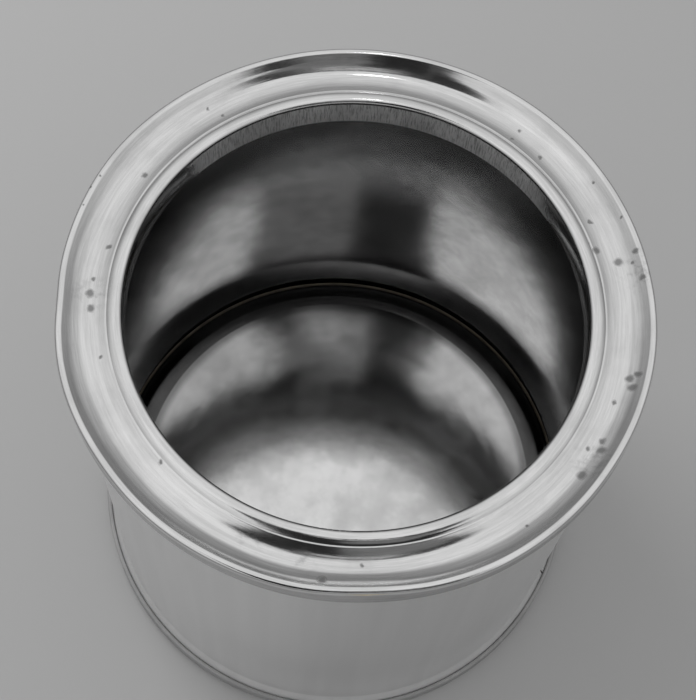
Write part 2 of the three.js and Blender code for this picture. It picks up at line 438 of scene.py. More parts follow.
def bump(tree, height, distance, below=None):
    """Height turned into a bump, on top of the bump below it."""
    node = tree.nodes.new("ShaderNodeBump")
    node.inputs["Strength"].default_value = 1.0
    node.inputs["Distance"].default_value = distance
    tree.links.new(height, node.inputs["Height"])
    if below is not None:
        tree.links.new(below, node.inputs["Normal"])
    return node.outputs["Normal"]


def link_surface(tree, shader, colour, roughness, relief):
    """Links the colour, the roughness and the relief to the shader."""
    tree.links.new(colour, shader.inputs["Base Color"])
    tree.links.new(roughness, shader.inputs["Roughness"])
    tree.links.new(relief, shader.inputs["Normal"])


# %% [markdown]
# ## Rust spots on the ring
# Where the tin on the ring has worn through, the steel has rusted in small dark spots, and a few
# places are smudged. Noise with a high threshold would strew them evenly, which they are not. So
# they are set one by one from a table, and noise only makes their outlines ragged.

# %% Rust spots
# Azimuth in degrees, radius in millimetres as the camera sees it on the crown's plane, and size
RING_SPOTS = (
    (12, 41.7, 0.35), (18, 41.7, 0.30), (26, 41.5, 0.22), (16, 40.9, 0.22), (36, 40.7, 0.18),
    (17, 39.1, 0.55), (56, 38.4, 0.22), (28, 37.2, 0.30), (48, 37.0, 0.26), (20.5, 36.3, 0.42),
    (56, 36.3, 0.2), (132, 39.0, 0.2), (154, 37.5, 0.4), (130, 36.7, 0.24), (174, 37.1, 0.36),
    (185.5, 38.6, 0.5), (182, 38.2, 0.3), (189, 38.3, 0.45), (201, 37.6, 0.22), (229, 36.9, 0.26),
    (269.5, 41.7, 0.52), (277, 39.1, 0.22), (311, 40.6, 0.2), (326.5, 40.4, 0.55),
    (333, 40.6, 0.5), (335, 40.0, 0.4), (332, 39.0, 0.28), (344, 39.2, 0.24), (348, 41.0, 0.5),
    (351, 41.3, 0.4), (350, 40.4, 0.45), (160, 42.5, 0.16), (163, 42.7, 0.16), (167, 42.5, 0.16),
)
RING_SMUDGES = (
    (254, 39.0, 1.4), (266, 39.2, 1.2), (330, 40.2, 2.2), (186, 38.4, 2.0), (14, 41.4, 2.4),
)
SPOT_DEPTH = 1.6 * MM
SPOT_GROWTH = 1.8
SPOT_CORE = 0.3
SPOT_COVER = 0.85
# A cloud is given as its scale, detail and roughness, and a change as the range that it goes
# over and its values at the range's two ends
SMUDGE_CLOUD = (700, 3, 0.6)
SMUDGE_COVER = (0.42, 0.68, 0, 0.35)
RAGGED = 0.9 * MM
RAGGED_SCALE = 900
RAGGED_DETAIL = 3


def seen_on_ring(azimuth, radius):
    """The place on the ring that the camera sees at an azimuth and radius of the crown's plane."""
    on_plane = Vector(polar(radius * MM, math.radians(azimuth), CAN_HEIGHT))
    reach = 1 + SPOT_DEPTH / (CAMERA_PLACE.z - CAN_HEIGHT)
    return CAMERA_PLACE + (on_plane - CAMERA_PLACE) * reach


def scaled_and_moved(tree, vector, scale, move):
    """The vector times the scale, plus the move, which may be three numbers or a vector."""
    node = tree.nodes.new("ShaderNodeVectorMath")
    node.operation = "MULTIPLY_ADD"
    tree.links.new(vector, node.inputs[0])
    node.inputs[1].default_value = scale
    feed(tree, node.inputs[2], move)
    return node.outputs["Vector"]


def ragged_place(tree, place):
    """The place moved a little by noise and laid on the level of the spots."""
    wobble = tree.nodes.new("ShaderNodeTexNoise")
    wobble.inputs["Scale"].default_value = RAGGED_SCALE
    wobble.inputs["Detail"].default_value = RAGGED_DETAIL
    tree.links.new(place, wobble.inputs["Vector"])
    moved = scaled_and_moved(tree, wobble.outputs["Color"], (RAGGED, RAGGED, 0), place)
    level = (-RAGGED / 2, -RAGGED / 2, CAN_HEIGHT - SPOT_DEPTH)
    return scaled_and_moved(tree, moved, (1, 1, 0), level)


def spots(tree, place, table):
    """1 inside any of the table's marks, and 0 outside them."""
    covers = []
    for azimuth, radius, size in table:
        edge = size * SPOT_GROWTH * MM
        gap = tree.nodes.new("ShaderNodeVectorMath")
        gap.operation = "DISTANCE"
        gap.inputs[1].default_value = seen_on_ring(azimuth, radius)
        tree.links.new(place, gap.inputs[0])
        covers.append(remap(tree, gap.outputs["Value"], edge * SPOT_CORE, edge, 1, 0))
    return highest(tree, *covers)


def ring_rust(tree, place):
    """How much the rust covers the tin, most in the spots and less in the smudges."""
    on_top = ragged_place(tree, place)
    spotted = spots(tree, on_top, RING_SPOTS)
    grain = remap(tree, cloud(tree, place, *SMUDGE_CLOUD), *SMUDGE_COVER)
    smudged = times(tree, spots(tree, on_top, RING_SMUDGES), grain)
    return highest(tree, times(tree, spotted, SPOT_COVER), smudged)


print("rust spots:", len(RING_SPOTS), "and smudges:", len(RING_SMUDGES))

# %% [markdown]
# ## The scraped throat and the dull seam wall
# The throat below the curl is scraped dull along its height at the back, because a lid has been
# pushed in there for years, and it is painted lighter there too, as painted light. The outer wall
# of the seam is painted greyer than the top, as painted shade in place of the dark things that it
# mirrors, with fine lines round it and more painted shade in the crease at its foot. Both could be
# materials of their own on some of the faces, but their borders would follow the mesh. A mask of
# radius and height has a soft or ragged border.

# %% Throat and seam wall
INSIDE_THROAT = (34.2 * MM, 34.4 * MM, 1, 0)
BELOW_CURL = (CAN_HEIGHT - 1.6 * MM, CAN_HEIGHT - 1.2 * MM, 1, 0)
AT_BACK = (21 * MM, 28 * MM, 0, 1)
SCRAPED_WANDER = 6 * MM
SCRAPED_CLOUD = (260, 2, 0.5)
OUTSIDE_CHUCK = (CHUCK_LINE + 0.2 * MM, CHUCK_LINE + 0.3 * MM, 0, 1)
BELOW_CROWN = (CAN_HEIGHT - 0.9 * MM, CAN_HEIGHT - 0.5 * MM, 1, 0)
# Painted shade: the seam's outer wall is darkened in place of the dark things that it mirrors
SEAM_WALL_PAINTED_SHADE = 0.68
# A stretch is given round the can, across it and up it
SEAM_WALL_STRETCH = (2, 0, 4000)
SEAM_WALL_CLOUD = (1, 3, 0.6)
SEAM_WALL_LINES = (0.35, 0.65, 1.08, 0.88)
SEAM_FOOT = CAN_HEIGHT - SEAM_FOOT_DEPTH
# Painted shade in the crease at the foot of the seam
SEAM_FOOT_PAINTED_SHADE = (SEAM_FOOT, SEAM_FOOT + 0.5 * MM, 0.55, 1)


def scraped_throat(tree, place, radius):
    """1 on the scraped back of the throat, and 0 elsewhere."""
    y, z = split(tree, place)[1:]
    wander = times(tree, cloud(tree, place, *SCRAPED_CLOUD), SCRAPED_WANDER)
    return times(
        tree,
        remap(tree, radius, *INSIDE_THROAT),
        remap(tree, z, *BELOW_CURL),
        remap(tree, maths(tree, "ADD", y, wander), *AT_BACK),
    )


def seam_wall_and_painted_shade(tree, place, radius):
    """1 on the seam's outer wall and 0 elsewhere, and its lines and painted shade that multiply its
    tone.
    """
    z = split(tree, place)[2]
    wall = times(tree, remap(tree, radius, *OUTSIDE_CHUCK), remap(tree, z, *BELOW_CROWN))
    lines = cloud(tree, round_place(tree, *SEAM_WALL_STRETCH), *SEAM_WALL_CLOUD)
    lined = remap(tree, lines, *SEAM_WALL_LINES)
    return wall, times(tree, lined, SEAM_WALL_PAINTED_SHADE, remap(tree, z, *SEAM_FOOT_PAINTED_SHADE))


# %% [markdown]
# ## Tin on the ring
# The ring is the brightest sheet, because hands and lids keep it polished. Its finish has fine
# rings from the press and faint bloom, and on top of them the rust, the scraped throat with its
# painted light and the seam wall with its painted shade from above. One material holds them all,
# as one sheet of tin does.

# %% Ring tinplate
RING_TONE = 0.80
RING_DULL_TONE = 0.74
RING_ROUGHNESS = (0.11, 0.18)
RING_BLOOM_CLOUD = (90, 5, 0.6)
RING_BLOOM_COVER = (0.42, 0.72, 0, 1)
PRESS_RING_STRETCH = (3, 1700, 0)
PRESS_RING_CLOUD = (1, 4, 0.75)
PRESS_RING_TONES = (1.07, 0.88)
PRESS_RING_DEPTH = 0.010 * MM
# The scraped back of the throat is also painted lighter, as painted light
SCRAPED_PAINTED_LIGHT = 1.2
SCRAPED_ROUGHNESS = 0.70
SCRATCH_STRETCH = (170, 0, 420)
SCRATCH_CLOUD = (1, 3, 0.7)
SCRATCH_COVER = (0.45, 0.66, 0, 1)
SCRATCH_DARKNESS = 0.38
SCRATCH_DEPTH = 0.03 * MM
SEAM_WALL_ROUGHNESS = 0.25
RUST_TONE = 0.26
RUST_ROUGHNESS = 0.5
RING_WAVE_CLOUD = (45, 1, 0.4)
RING_WAVE_DEPTH = 0.10 * MM
RING_DIMPLE_CLOUD = (260, 2, 0.5)
RING_DIMPLE_DEPTH = 0.005 * MM


def ring_tinplate():
    """Bright stamped tin with press rings and rust, its throat painted lighter and seam wall
    darker.
    """
    material, tree, shader = new_material("ring_tinplate")
    shader.inputs["Metallic"].default_value = 1.0
    place = object_place(tree)
    radius = radius_of(tree, place)
    rust = ring_rust(tree, place)
    scraped = scraped_throat(tree, place, radius)
    seam_wall, wall_lines_and_shade = seam_wall_and_painted_shade(tree, place, radius)
    scratches = remap(tree, cloud(tree, round_place(tree, *SCRATCH_STRETCH), *SCRATCH_CLOUD),
                      *SCRATCH_COVER)
    cuts = times(tree, scratches, scraped)
    press_rings = cloud(tree, round_place(tree, *PRESS_RING_STRETCH), *PRESS_RING_CLOUD)
    bloom = remap(tree, cloud(tree, place, *RING_BLOOM_CLOUD), *RING_BLOOM_COVER)

    tone = times(
        tree,
        remap(tree, bloom, 0, 1, RING_TONE, RING_DULL_TONE),
        remap(tree, press_rings, *CLOUD_RANGE, *PRESS_RING_TONES),
        remap(tree, scraped, 0, 1, 1, SCRAPED_PAINTED_LIGHT),
        maths(tree, "SUBTRACT", 1, times(tree, cuts, SCRATCH_DARKNESS)),
        mixed(tree, 1, wall_lines_and_shade, seam_wall),
    )
    tone = mixed(tree, tone, RUST_TONE, rust)

    roughness = highest(
        tree,
        remap(tree, bloom, 0, 1, *RING_ROUGHNESS),
        times(tree, scraped, SCRAPED_ROUGHNESS),
        times(tree, seam_wall, SEAM_WALL_ROUGHNESS),
        times(tree, rust, RUST_ROUGHNESS),
    )

    relief = bump(tree, cloud(tree, place, *RING_WAVE_CLOUD), RING_WAVE_DEPTH)
    relief = bump(tree, cloud(tree, place, *RING_DIMPLE_CLOUD), RING_DIMPLE_DEPTH, relief)
    relief = bump(tree, cuts, SCRATCH_DEPTH, relief)
    relief = bump(tree, press_rings, PRESS_RING_DEPTH, relief)
    link_surface(tree, shader, grey_from(tree, tone), roughness, relief)
    return material


ring_tin = ring_tinplate()

# %% [markdown]
# ## Tin on the body
# The outside has been handled and wiped until its mirror went soft, and it is dullest at the
# foot. It has faint streaks along the height, the way the sheet was rolled. The inside is cloudy
# and darker, with painted shade at the left, under the mouth and in the corner near the bottom.
# Two materials could be put on the sheet's two faces. Here one is enough, because the face's own
# direction tells outside from inside.

# %% Body tinplate
OUTSIDE_TONES = (0.86, 0.83)
OUTSIDE_ROUGHNESS = 0.30
STREAK_STRETCH = (16, 0, 12)
STREAK_CLOUD = (1, 1, 0.5)
INSIDE_TONES = (0.605, 0.495)
INSIDE_ROUGHNESS = 0.10
INSIDE_CLOUD = (300, 5, 0.65)
# Painted shade on the inside: in the corner near the bottom, under the mouth and at the left
INSIDE_CORNER_SHADE = (12.5 * MM, 18.5 * MM, 0.45, 1)
UPPER_SHADE = (0.5 * CAN_HEIGHT, 0.8 * CAN_HEIGHT, 1, 0.72)
LEFT_SHADE = (-28 * MM, 8 * MM, 0.84, 1)
FOOT_DULLNESS = (SEAM_HEIGHT, 2 * SEAM_HEIGHT, 0.35, 0)
FOOT_WEAR = (4 * MM, 30 * MM, 0.25, 0)
BODY_WAVE_CLOUD = (40, 1, 0.4)
BODY_WAVE_DEPTH = 0.20 * MM
HOLLOW_CLOUD = (260, 2, 0.5)
HOLLOW_DEPTH = 0.012 * MM
FACING_BLUR = 1 * MM


def faces_outwards(tree, place):
    """1 on a face that looks away from the can's axis, 0 on one that looks towards it."""
    x, y = split(tree, place)[:2]
    dot = tree.nodes.new("ShaderNodeVectorMath")
    dot.operation = "DOT_PRODUCT"
    tree.links.new(joined(tree, x, y, 0.0), dot.inputs[0])
    tree.links.new(tree.nodes.new("ShaderNodeNewGeometry").outputs["Normal"], dot.inputs[1])
    return remap(tree, dot.outputs["Value"], -FACING_BLUR, FACING_BLUR, 0, 1)


def body_tinplate():
    """Soft, streaked tin outside, and darker, cloudy tin inside with painted shade."""
    material, tree, shader = new_material("body_tinplate")
    place = object_place(tree)
    x, _, z = split(tree, place)
    outside = faces_outwards(tree, place)
    inside = remap(tree, outside, 0, 1, 1, 0)
    streaks = cloud(tree, round_place(tree, *STREAK_STRETCH), *STREAK_CLOUD)
    outside_tone = remap(tree, streaks, *CLOUD_RANGE, *OUTSIDE_TONES)
    inside_tone = remap(tree, cloud(tree, place, *INSIDE_CLOUD), *CLOUD_RANGE, *INSIDE_TONES)

    # The inside's tone is darkened by painted shade in its corner, under the mouth and at the left
    tone = times(
        tree,
        mixed(tree, inside_tone, outside_tone, outside),
        highest(tree, outside, remap(tree, z, *INSIDE_CORNER_SHADE)),
        highest(tree, outside, remap(tree, z, *UPPER_SHADE)),
        highest(tree, outside, remap(tree, x, *LEFT_SHADE)),
    )

    dull_foot = times(tree, outside, remap(tree, z, *FOOT_DULLNESS))
    metallic = maths(tree, "SUBTRACT", 1, dull_foot)
    tree.links.new(metallic, shader.inputs["Metallic"])

    roughness = remap(tree, outside, 0, 1, INSIDE_ROUGHNESS, OUTSIDE_ROUGHNESS)
    worn_foot = times(tree, outside, remap(tree, z, *FOOT_WEAR))
    roughness = maths(tree, "ADD", roughness, worn_foot)

    relief = bump(tree, cloud(tree, place, *BODY_WAVE_CLOUD), BODY_WAVE_DEPTH)
    hollows = times(tree, cloud(tree, place, *HOLLOW_CLOUD), inside)
    relief = bump(tree, hollows, HOLLOW_DEPTH, relief)
    link_surface(tree, shader, grey_from(tree, tone), roughness, relief)
    return material


body_tin = body_tinplate()

# %% [markdown]
# ## Tin on the bottom
# Sugar and damp have left the panel blotchy, with a few darker stains, and all round it, near the
# wall, painted shade darkens the corner as on the body's inside just above it. The outside of its
# seam, which the can stands on, is worn rough and grey. Again one material holds all of it, and the
# radius tells the zones apart.

# %% Bottom tinplate
BOTTOM_TONES = (0.83, 0.71)
BOTTOM_ROUGHNESS = (0.10, 0.15)
BOTTOM_CLOUD = (170, 4, 0.6)
STAIN_CLOUD = (75, 3, 0.55)
STAIN_SHADE = (0.52, 0.70, 1, 0.86)
# Painted shade in the corner where the panel meets the wall
PANEL_CORNER_SHADE = (34.8 * MM, 36.6 * MM, 1, 0.5)
SEAM_INNER = END_HOOK_LINE - 0.25 * MM
SEAM_WEAR = (SEAM_INNER, END_HOOK_LINE, 0, 0.38)
SEAM_METALLIC = (SEAM_INNER, END_HOOK_LINE - 0.1 * MM, 1, 0.3)
BOTTOM_WAVE_CLOUD = (35, 1, 0.4)
BOTTOM_WAVE_DEPTH = 0.15 * MM
BOTTOM_MOTTLE_CLOUD = (240, 2, 0.5)
BOTTOM_MOTTLE_DEPTH = 0.012 * MM


def bottom_tinplate():
    """Blotchy, stained tin, with painted shade next to the wall, and worn on the outside of the
    seam.
    """
    material, tree, shader = new_material("base_tinplate")
    place = object_place(tree)
    radius = radius_of(tree, place)
    blotches = cloud(tree, place, *BOTTOM_CLOUD)

    tone = times(
        tree,
        remap(tree, blotches, *CLOUD_RANGE, *BOTTOM_TONES),
        remap(tree, cloud(tree, place, *STAIN_CLOUD), *STAIN_SHADE),
        remap(tree, radius, *PANEL_CORNER_SHADE),
    )

    roughness = maths(tree, "ADD", remap(tree, blotches, *CLOUD_RANGE, *BOTTOM_ROUGHNESS),
                      remap(tree, radius, *SEAM_WEAR))
    tree.links.new(remap(tree, radius, *SEAM_METALLIC), shader.inputs["Metallic"])

    relief = bump(tree, cloud(tree, place, *BOTTOM_WAVE_CLOUD), BOTTOM_WAVE_DEPTH)
    relief = bump(tree, cloud(tree, place, *BOTTOM_MOTTLE_CLOUD), BOTTOM_MOTTLE_DEPTH, relief)
    link_surface(tree, shader, grey_from(tree, tone), roughness, relief)
    return material


bottom_tin = bottom_tinplate()

# %% [markdown]
# ## The edge that both stampings share
# The ring and the bottom are folded onto the body in the same way, so the first corners of their
# sections are the same: the hook inside the seam, the outer wall and the crown. They are written
# once, as depths from the end of the can, and each stamping goes on from there.

# %% Seamed edge


def seamed_edge():
    """Corners of an end sheet from its hook, over the crown, to the head of the chuck wall."""
    hook_end = BODY_CROWN_DEPTH + BODY_SHEET / 2 + HOOK_CLEARANCE
    return [
        (END_HOOK_LINE, hook_end, 0),
        (END_HOOK_LINE, SEAM_FOOT_DEPTH, LAYER_STEP),
        (OUTER_LINE, SEAM_FOOT_DEPTH, LAYER_STEP),
        (OUTER_LINE, CROWN_DEPTH, SEAM_CROWN_FOLD),
        (CHUCK_HEAD_LINE, CROWN_DEPTH, SEAM_CROWN_FOLD),
    ]


# %% [markdown]
# ## The top ring
# One stamping makes the seam, the channel behind it, the neck that rises to a narrow ledge, and
# the curl that turns down into the throat where a lid would press in. Each could be a ring of its
# own, but a press forms them all from one sheet, so the whole section is one line here too.

# %% Section of the top ring
WALL_BEND_RUN = 1.105 * MM
WALL_HEAD_TILT = math.radians(40)
WALL_FOOT_TILT = math.radians(29)
WALL_BEND_FOLD = 4 * MM
CHANNEL_DEPTH = 1.92 * MM
CHANNEL_FOLD = 2.2 * MM
NECK_TILT = math.radians(23)
NECK_FOLD = 7.2 * MM
NECK_RUN = 1.53 * MM
LEDGE_WIDTH = 0.25 * MM
LEDGE_RISE = 0.03 * MM
LEDGE_OUTER_FOLD = 0.3 * MM
LEDGE_INNER_FOLD = 0.2 * MM
CURL_SIDE_TILT = math.radians(32)
CURL_FOLD = 2.3 * MM
CURL_WIDTH = 1.45 * MM
CURL_BELOW_SEAM = 0.7 * MM
THROAT_FOLD = 0.6 * MM
THROAT_LENGTH = 5.4 * MM


def ring_corners():
    """The section of the top ring."""
    wall_bend = CHUCK_HEAD_LINE - WALL_BEND_RUN
    bend_depth = CROWN_DEPTH + WALL_BEND_RUN * math.tan(WALL_HEAD_TILT)
    wall_foot = wall_bend - (CHANNEL_DEPTH - bend_depth) / math.tan(WALL_FOOT_TILT)
    channel = wall_foot - CHANNEL_FOLD * math.tan(WALL_FOOT_TILT / 2)
    neck_foot = channel - NECK_FOLD * math.tan(NECK_TILT / 2)
    neck_head = neck_foot - NECK_RUN
    head_depth = CHANNEL_DEPTH - NECK_RUN * math.tan(NECK_TILT)
    ledge_inner = neck_head - LEDGE_WIDTH
    ledge_depth = head_depth - LEDGE_RISE
    curl_depth = CURL_BELOW_SEAM + END_SHEET / 2
    curl_outer = ledge_inner - (ledge_depth - curl_depth) / math.tan(CURL_SIDE_TILT)
    throat = curl_outer - CURL_WIDTH
    print(f"channel at {channel / MM:.2f} mm, neck up to {neck_head / MM:.2f} mm,"
          f" throat at {throat / MM:.2f} mm")
    return at_top(seamed_edge() + [
        (wall_bend, bend_depth, WALL_BEND_FOLD),
        (wall_foot, CHANNEL_DEPTH, CHANNEL_FOLD),
        (neck_foot, CHANNEL_DEPTH, NECK_FOLD),
        (neck_head, head_depth, LEDGE_OUTER_FOLD),
        (ledge_inner, ledge_depth, LEDGE_INNER_FOLD),
        (curl_outer, curl_depth, CURL_FOLD),
        (throat, curl_depth, THROAT_FOLD),
        (throat, CURL_BELOW_SEAM + THROAT_LENGTH, 0),
    ])


# %% Top ring
bm = bmesh.new()
spin_full(bm, *chain(bm, folded_line(ring_corners())))
dent(bm)
ring = sheet_piece(bm, "stamped_ring", END_SHEET, ring_tin)
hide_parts("top_ring")
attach(ring, "root")

# %% [markdown]
# ## The body
# The body is one rolled sheet with a flange at each end. A closed tube with a line on it would
# look nearly the same, but the real sheet has two upright edges. So the section is spun open,
# from one upright edge nearly round to itself, and the last strip is spun on over the first edge
# as the lap. Only the part between the seams laps, because the corners of the sheet are cut away
# where the seams fold them.

# %% Section of the body
FLARE_FOLD = 1.0 * MM
LAP_CLEARANCE = 0.3 * MM
LAP_BOTTOM = max(SEAM_HEIGHT, FLARE_END_DEPTH) + LAP_CLEARANCE
LAP_TOP = CAN_HEIGHT - LAP_BOTTOM
LAP_HEIGHT = LAP_TOP - LAP_BOTTOM
WALL_ROWS = 24


def flanged_edge():
    """Corners of the body sheet from its hook, over its flange, and in to the straight wall."""
    return [
        (BODY_HOOK_LINE, SEAM_HEIGHT - END_SHEET - HOOK_CLEARANCE, 0),
        (BODY_HOOK_LINE, BODY_CROWN_DEPTH, LAYER_STEP),
        (SEAM_WALL_LINE, BODY_CROWN_DEPTH, LAYER_STEP),
        (SEAM_WALL_LINE, FLARE_START_DEPTH, FLARE_FOLD),
        (BODY_LINE, FLARE_END_DEPTH, FLARE_FOLD),
    ]


def body_line():
    """The section of the body from foot to head, with rows up the straight wall."""
    wall = []
    for row in range(WALL_ROWS + 1):
        wall.append((BODY_LINE, LAP_BOTTOM + LAP_HEIGHT * row / WALL_ROWS, 0))
    return folded_line(flanged_edge() + wall + list(reversed(at_top(flanged_edge()))))


print(f"straight wall between {LAP_BOTTOM / MM:.1f} and {LAP_TOP / MM:.1f} mm")

# %% Rolled body
SIDE_SEAM_AZIMUTH = math.radians(345)
LAP_WIDTH = 5.0 * MM
LAP_FILM = 0.16 * MM
SHEET_EDGE_GAP = 0.3 * MM
LAP_STEPS = 18
gap_angle = SHEET_EDGE_GAP / BODY_LINE
lap_angle = LAP_WIDTH / BODY_LINE
inner_edge = SIDE_SEAM_AZIMUTH - lap_angle / 2


def in_lap_zone(vert):
    """Whether the vertex is in the part of the wall that laps."""
    return LAP_BOTTOM - SAME_POINT <= vert.co.z <= LAP_TOP + SAME_POINT


bm = bmesh.new()
verts, edges = chain(bm, body_line(), inner_edge)
spun = bmesh.ops.spin(bm, geom=verts + edges, angle=2 * math.pi - gap_angle, steps=SEGMENTS,
                      use_merge=False, **ROUND_THE_AXIS)
lap_edges = [item for item in spun["geom_last"] if isinstance(item, bmesh.types.BMEdge)
             and all(in_lap_zone(vert) for vert in item.verts)]
lap_verts = sorted({vert for item in lap_edges for vert in item.verts}, key=lambda v: v.co.z)
print("edges that are spun on as the lap:", len(lap_edges))

# %% Lap of the body
before_lap = set(bm.verts)
bmesh.ops.spin(bm, geom=lap_verts + lap_edges, angle=gap_angle + lap_angle, steps=LAP_STEPS,
               use_merge=False, **ROUND_THE_AXIS)
for vert in bm.verts:
    if vert in before_lap:
        continue
    turned_by = (math.atan2(vert.co.y, vert.co.x) - inner_edge + gap_angle) % (2 * math.pi)
    lift = (BODY_SHEET + LAP_FILM) * smooth_share(turned_by * BODY_LINE, 0, SHEET_EDGE_GAP)
    vert.co.x *= 1 + lift / BODY_LINE
    vert.co.y *= 1 + lift / BODY_LINE
bmesh.ops.remove_doubles(bm, verts=bm.verts, dist=SAME_POINT)
dent(bm)
body = sheet_piece(bm, "rolled_body", BODY_SHEET, body_tin)
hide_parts("body_wall")
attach(body, "root")

# %% [markdown]
# ## Solder in the side seam
# The lap is closed with solder that was drawn in hot and left a fillet along the outer sheet's
# edge. It is duller and darker than tin. A straight strip would be simpler, but solder that was
# wiped by hand wanders. So its outline in plan is drawn as two arcs, the film in the lap and the
# foot of the fillet, joined over the fillet's top. It is raised in short lifts, and the fillet's
# edge moves a little from lift to lift.

# %% Soft solder
SOLDER_CLOUD = (500, 3, 0.6)
SOLDER_TONES = (0.60, 0.46)
SOLDER_ROUGHNESS = (0.34, 0.50)
SOLDER_RIPPLE_DEPTH = 0.05 * MM


def solder_finish():
    """Dull lead-grey solder, rippled where it set."""
    material, tree, shader = new_material("soft_solder")
    shader.inputs["Metallic"].default_value = 1.0
    ripple = cloud(tree, object_place(tree), *SOLDER_CLOUD)
    tone = remap(tree, ripple, *CLOUD_RANGE, *SOLDER_TONES)
    roughness = remap(tree, ripple, *CLOUD_RANGE, *SOLDER_ROUGHNESS)
    relief = bump(tree, ripple, SOLDER_RIPPLE_DEPTH)
    link_surface(tree, shader, grey_from(tree, tone), roughness, relief)
    return material


solder_metal = solder_finish()

# %% Outline of the solder
FILM_GAP = 0.02 * MM
FILM_INSET = 0.2 * MM
FILLET_RUN = 0.7 * MM
SOLDER_ARC_STEPS = 12
BEHIND_START = 0.5
film_inner = BODY_LINE + BODY_SHEET / 2 + FILM_GAP
film_outer = BODY_LINE + BODY_SHEET / 2 + LAP_FILM - FILM_GAP
lap_outer = BODY_LINE + BODY_SHEET * 1.5 + LAP_FILM
film_start = inner_edge + (SHEET_EDGE_GAP + FILM_INSET) / BODY_LINE
lap_end = inner_edge + lap_angle + 2 * FILM_GAP / BODY_LINE
fillet_end = lap_end + FILLET_RUN / BODY_LINE


def arc_verts(bm, radius, start, turn):
    """Vertices along an arc at the foot of the lap, made by spinning its first one."""
    first = bm.verts.new(polar(radius, start, LAP_BOTTOM))
    before = set(bm.verts) - {first}
    bmesh.ops.spin(bm, geom=[first], angle=turn, steps=SOLDER_ARC_STEPS, use_merge=False,
                   **ROUND_THE_AXIS)
    arc = [vert for vert in bm.verts if vert not in before]
    arc.sort(key=lambda v: (math.atan2(v.co.y, v.co.x) - start + BEHIND_START) % (2 * math.pi))
    return arc


bm = bmesh.new()
inner_arc = arc_verts(bm, film_inner, film_start, fillet_end - film_start)
outer_arc = arc_verts(bm, film_outer, film_start, lap_end - film_start)
fillet_top = bm.verts.new(polar(lap_outer, lap_end, LAP_BOTTOM))
foot = bm.faces.new(inner_arc + [fillet_top] + list(reversed(outer_arc)))
bmesh.ops.delete(bm, geom=[edge for edge in bm.edges if not edge.link_faces], context="EDGES")
print("corners in the solder's outline:", len(foot.verts))

# %% Raised solder
SOLDER_LIFTS = 72
FILLET_WANDER = 0.25 * MM
WANDER_SCALE = 300
WANDERING_SHARE = 0.8

front = [foot]
for lift in range(SOLDER_LIFTS):
    raised = bmesh.ops.extrude_face_region(bm, geom=front)["geom"]
    if lift > 0:
        bmesh.ops.delete(bm, geom=front, context="FACES_ONLY")
    front = [item for item in raised if isinstance(item, bmesh.types.BMFace)]
    verts = [item for item in raised if isinstance(item, bmesh.types.BMVert)]
    bmesh.ops.translate(bm, vec=(0, 0, LAP_HEIGHT / SOLDER_LIFTS), verts=verts)
for vert in bm.verts:
    turned = math.atan2(vert.co.y, vert.co.x) % (2 * math.pi)
    if turned > lap_end + WANDERING_SHARE * FILLET_RUN / BODY_LINE:
        drift = noise.noise(Vector((0, 0, vert.co.z * WANDER_SCALE)))
        wander = drift * FILLET_WANDER / BODY_LINE
        vert.co = Matrix.Rotation(wander, 3, "Z") @ vert.co
bmesh.ops.recalc_face_normals(bm, faces=bm.faces)
open_edges = sum(1 for edge in bm.edges if not edge.is_manifold)
for edge in bm.edges:
    edge.smooth = edge.calc_face_angle(0.0) < RAW_EDGE_ANGLE
solder = piece_from(bm, "seam_solder", solder_metal)
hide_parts("side_seam_solder")
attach(solder, "root")
print(f"solder strip {LAP_HEIGHT / MM:.1f} mm long, open edges: {open_edges}")

# %% [markdown]
# ## The bottom
# The bottom is stamped like the ring. From the seam, which the can stands on, the sheet rises
# inwards to a low shoulder and on to a crest, and inside the crest lies the panel, with one
# shallow step and a slight sag. A flat disc would mirror one even tone. The crest and the sag
# bend the reflections into the arcs and pools of light that a real bottom shows.

# %% Section of the bottom
SHOULDER_RUN = 1.405 * MM
SHOULDER_DEPTH = 1.9 * MM
SHOULDER_FOLD = 0.5 * MM
CREST_RUN = 4.4 * MM
CREST_RISE = 0.75 * MM
CREST_FOLD = 0.4 * MM
PANEL_MARGIN = 6.6 * MM
PANEL_STEP_RUN = 1.6 * MM
PANEL_STEP_DROP = 0.03 * MM
PANEL_STEP_FOLD = 6.0 * MM
PANEL_SAG = 0.35 * MM
PANEL_ROWS = 12


def bottom_corners():
    """The section of the bottom, from its hook to the middle of the panel."""
    shoulder = CHUCK_HEAD_LINE - SHOULDER_RUN
    crest = shoulder - CREST_RUN
    panel_height = SHOULDER_DEPTH + CREST_RISE
    step_outer = crest - PANEL_MARGIN
    step_inner = step_outer - PANEL_STEP_RUN
    centre_height = panel_height - PANEL_STEP_DROP
    slope = 2 * PANEL_SAG / step_inner
    rows = []
    for row in range(1, PANEL_ROWS + 1):
        share = row / PANEL_ROWS
        sag = PANEL_SAG * (1 - (1 - share) ** 2)
        rows.append((step_inner * (1 - share), centre_height - sag, 0))
    print(f"shoulder at {shoulder / MM:.2f} mm, crest at {crest / MM:.2f} mm")
    return seamed_edge() + [
        (shoulder, SHOULDER_DEPTH, SHOULDER_FOLD),
        (crest, panel_height + PANEL_MARGIN * slope, CREST_FOLD),
        (step_outer, panel_height, PANEL_STEP_FOLD),
        (step_inner, centre_height, PANEL_STEP_FOLD),
    ] + rows


# %% Bottom
bm = bmesh.new()
spin_full(bm, *chain(bm, folded_line(bottom_corners())))
bottom = sheet_piece(bm, "stamped_bottom", END_SHEET, bottom_tin)
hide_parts("bottom_end")
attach(bottom, "root")

# %% [markdown]
# ## Sealing compound
# A bead of rubbery compound lies under each crown and seals the seam. It could be modelled again
# in finer steps, but it is shut in by the folds and its CAD shape is right. So the two nodes stay
# and only get a finish of their own.

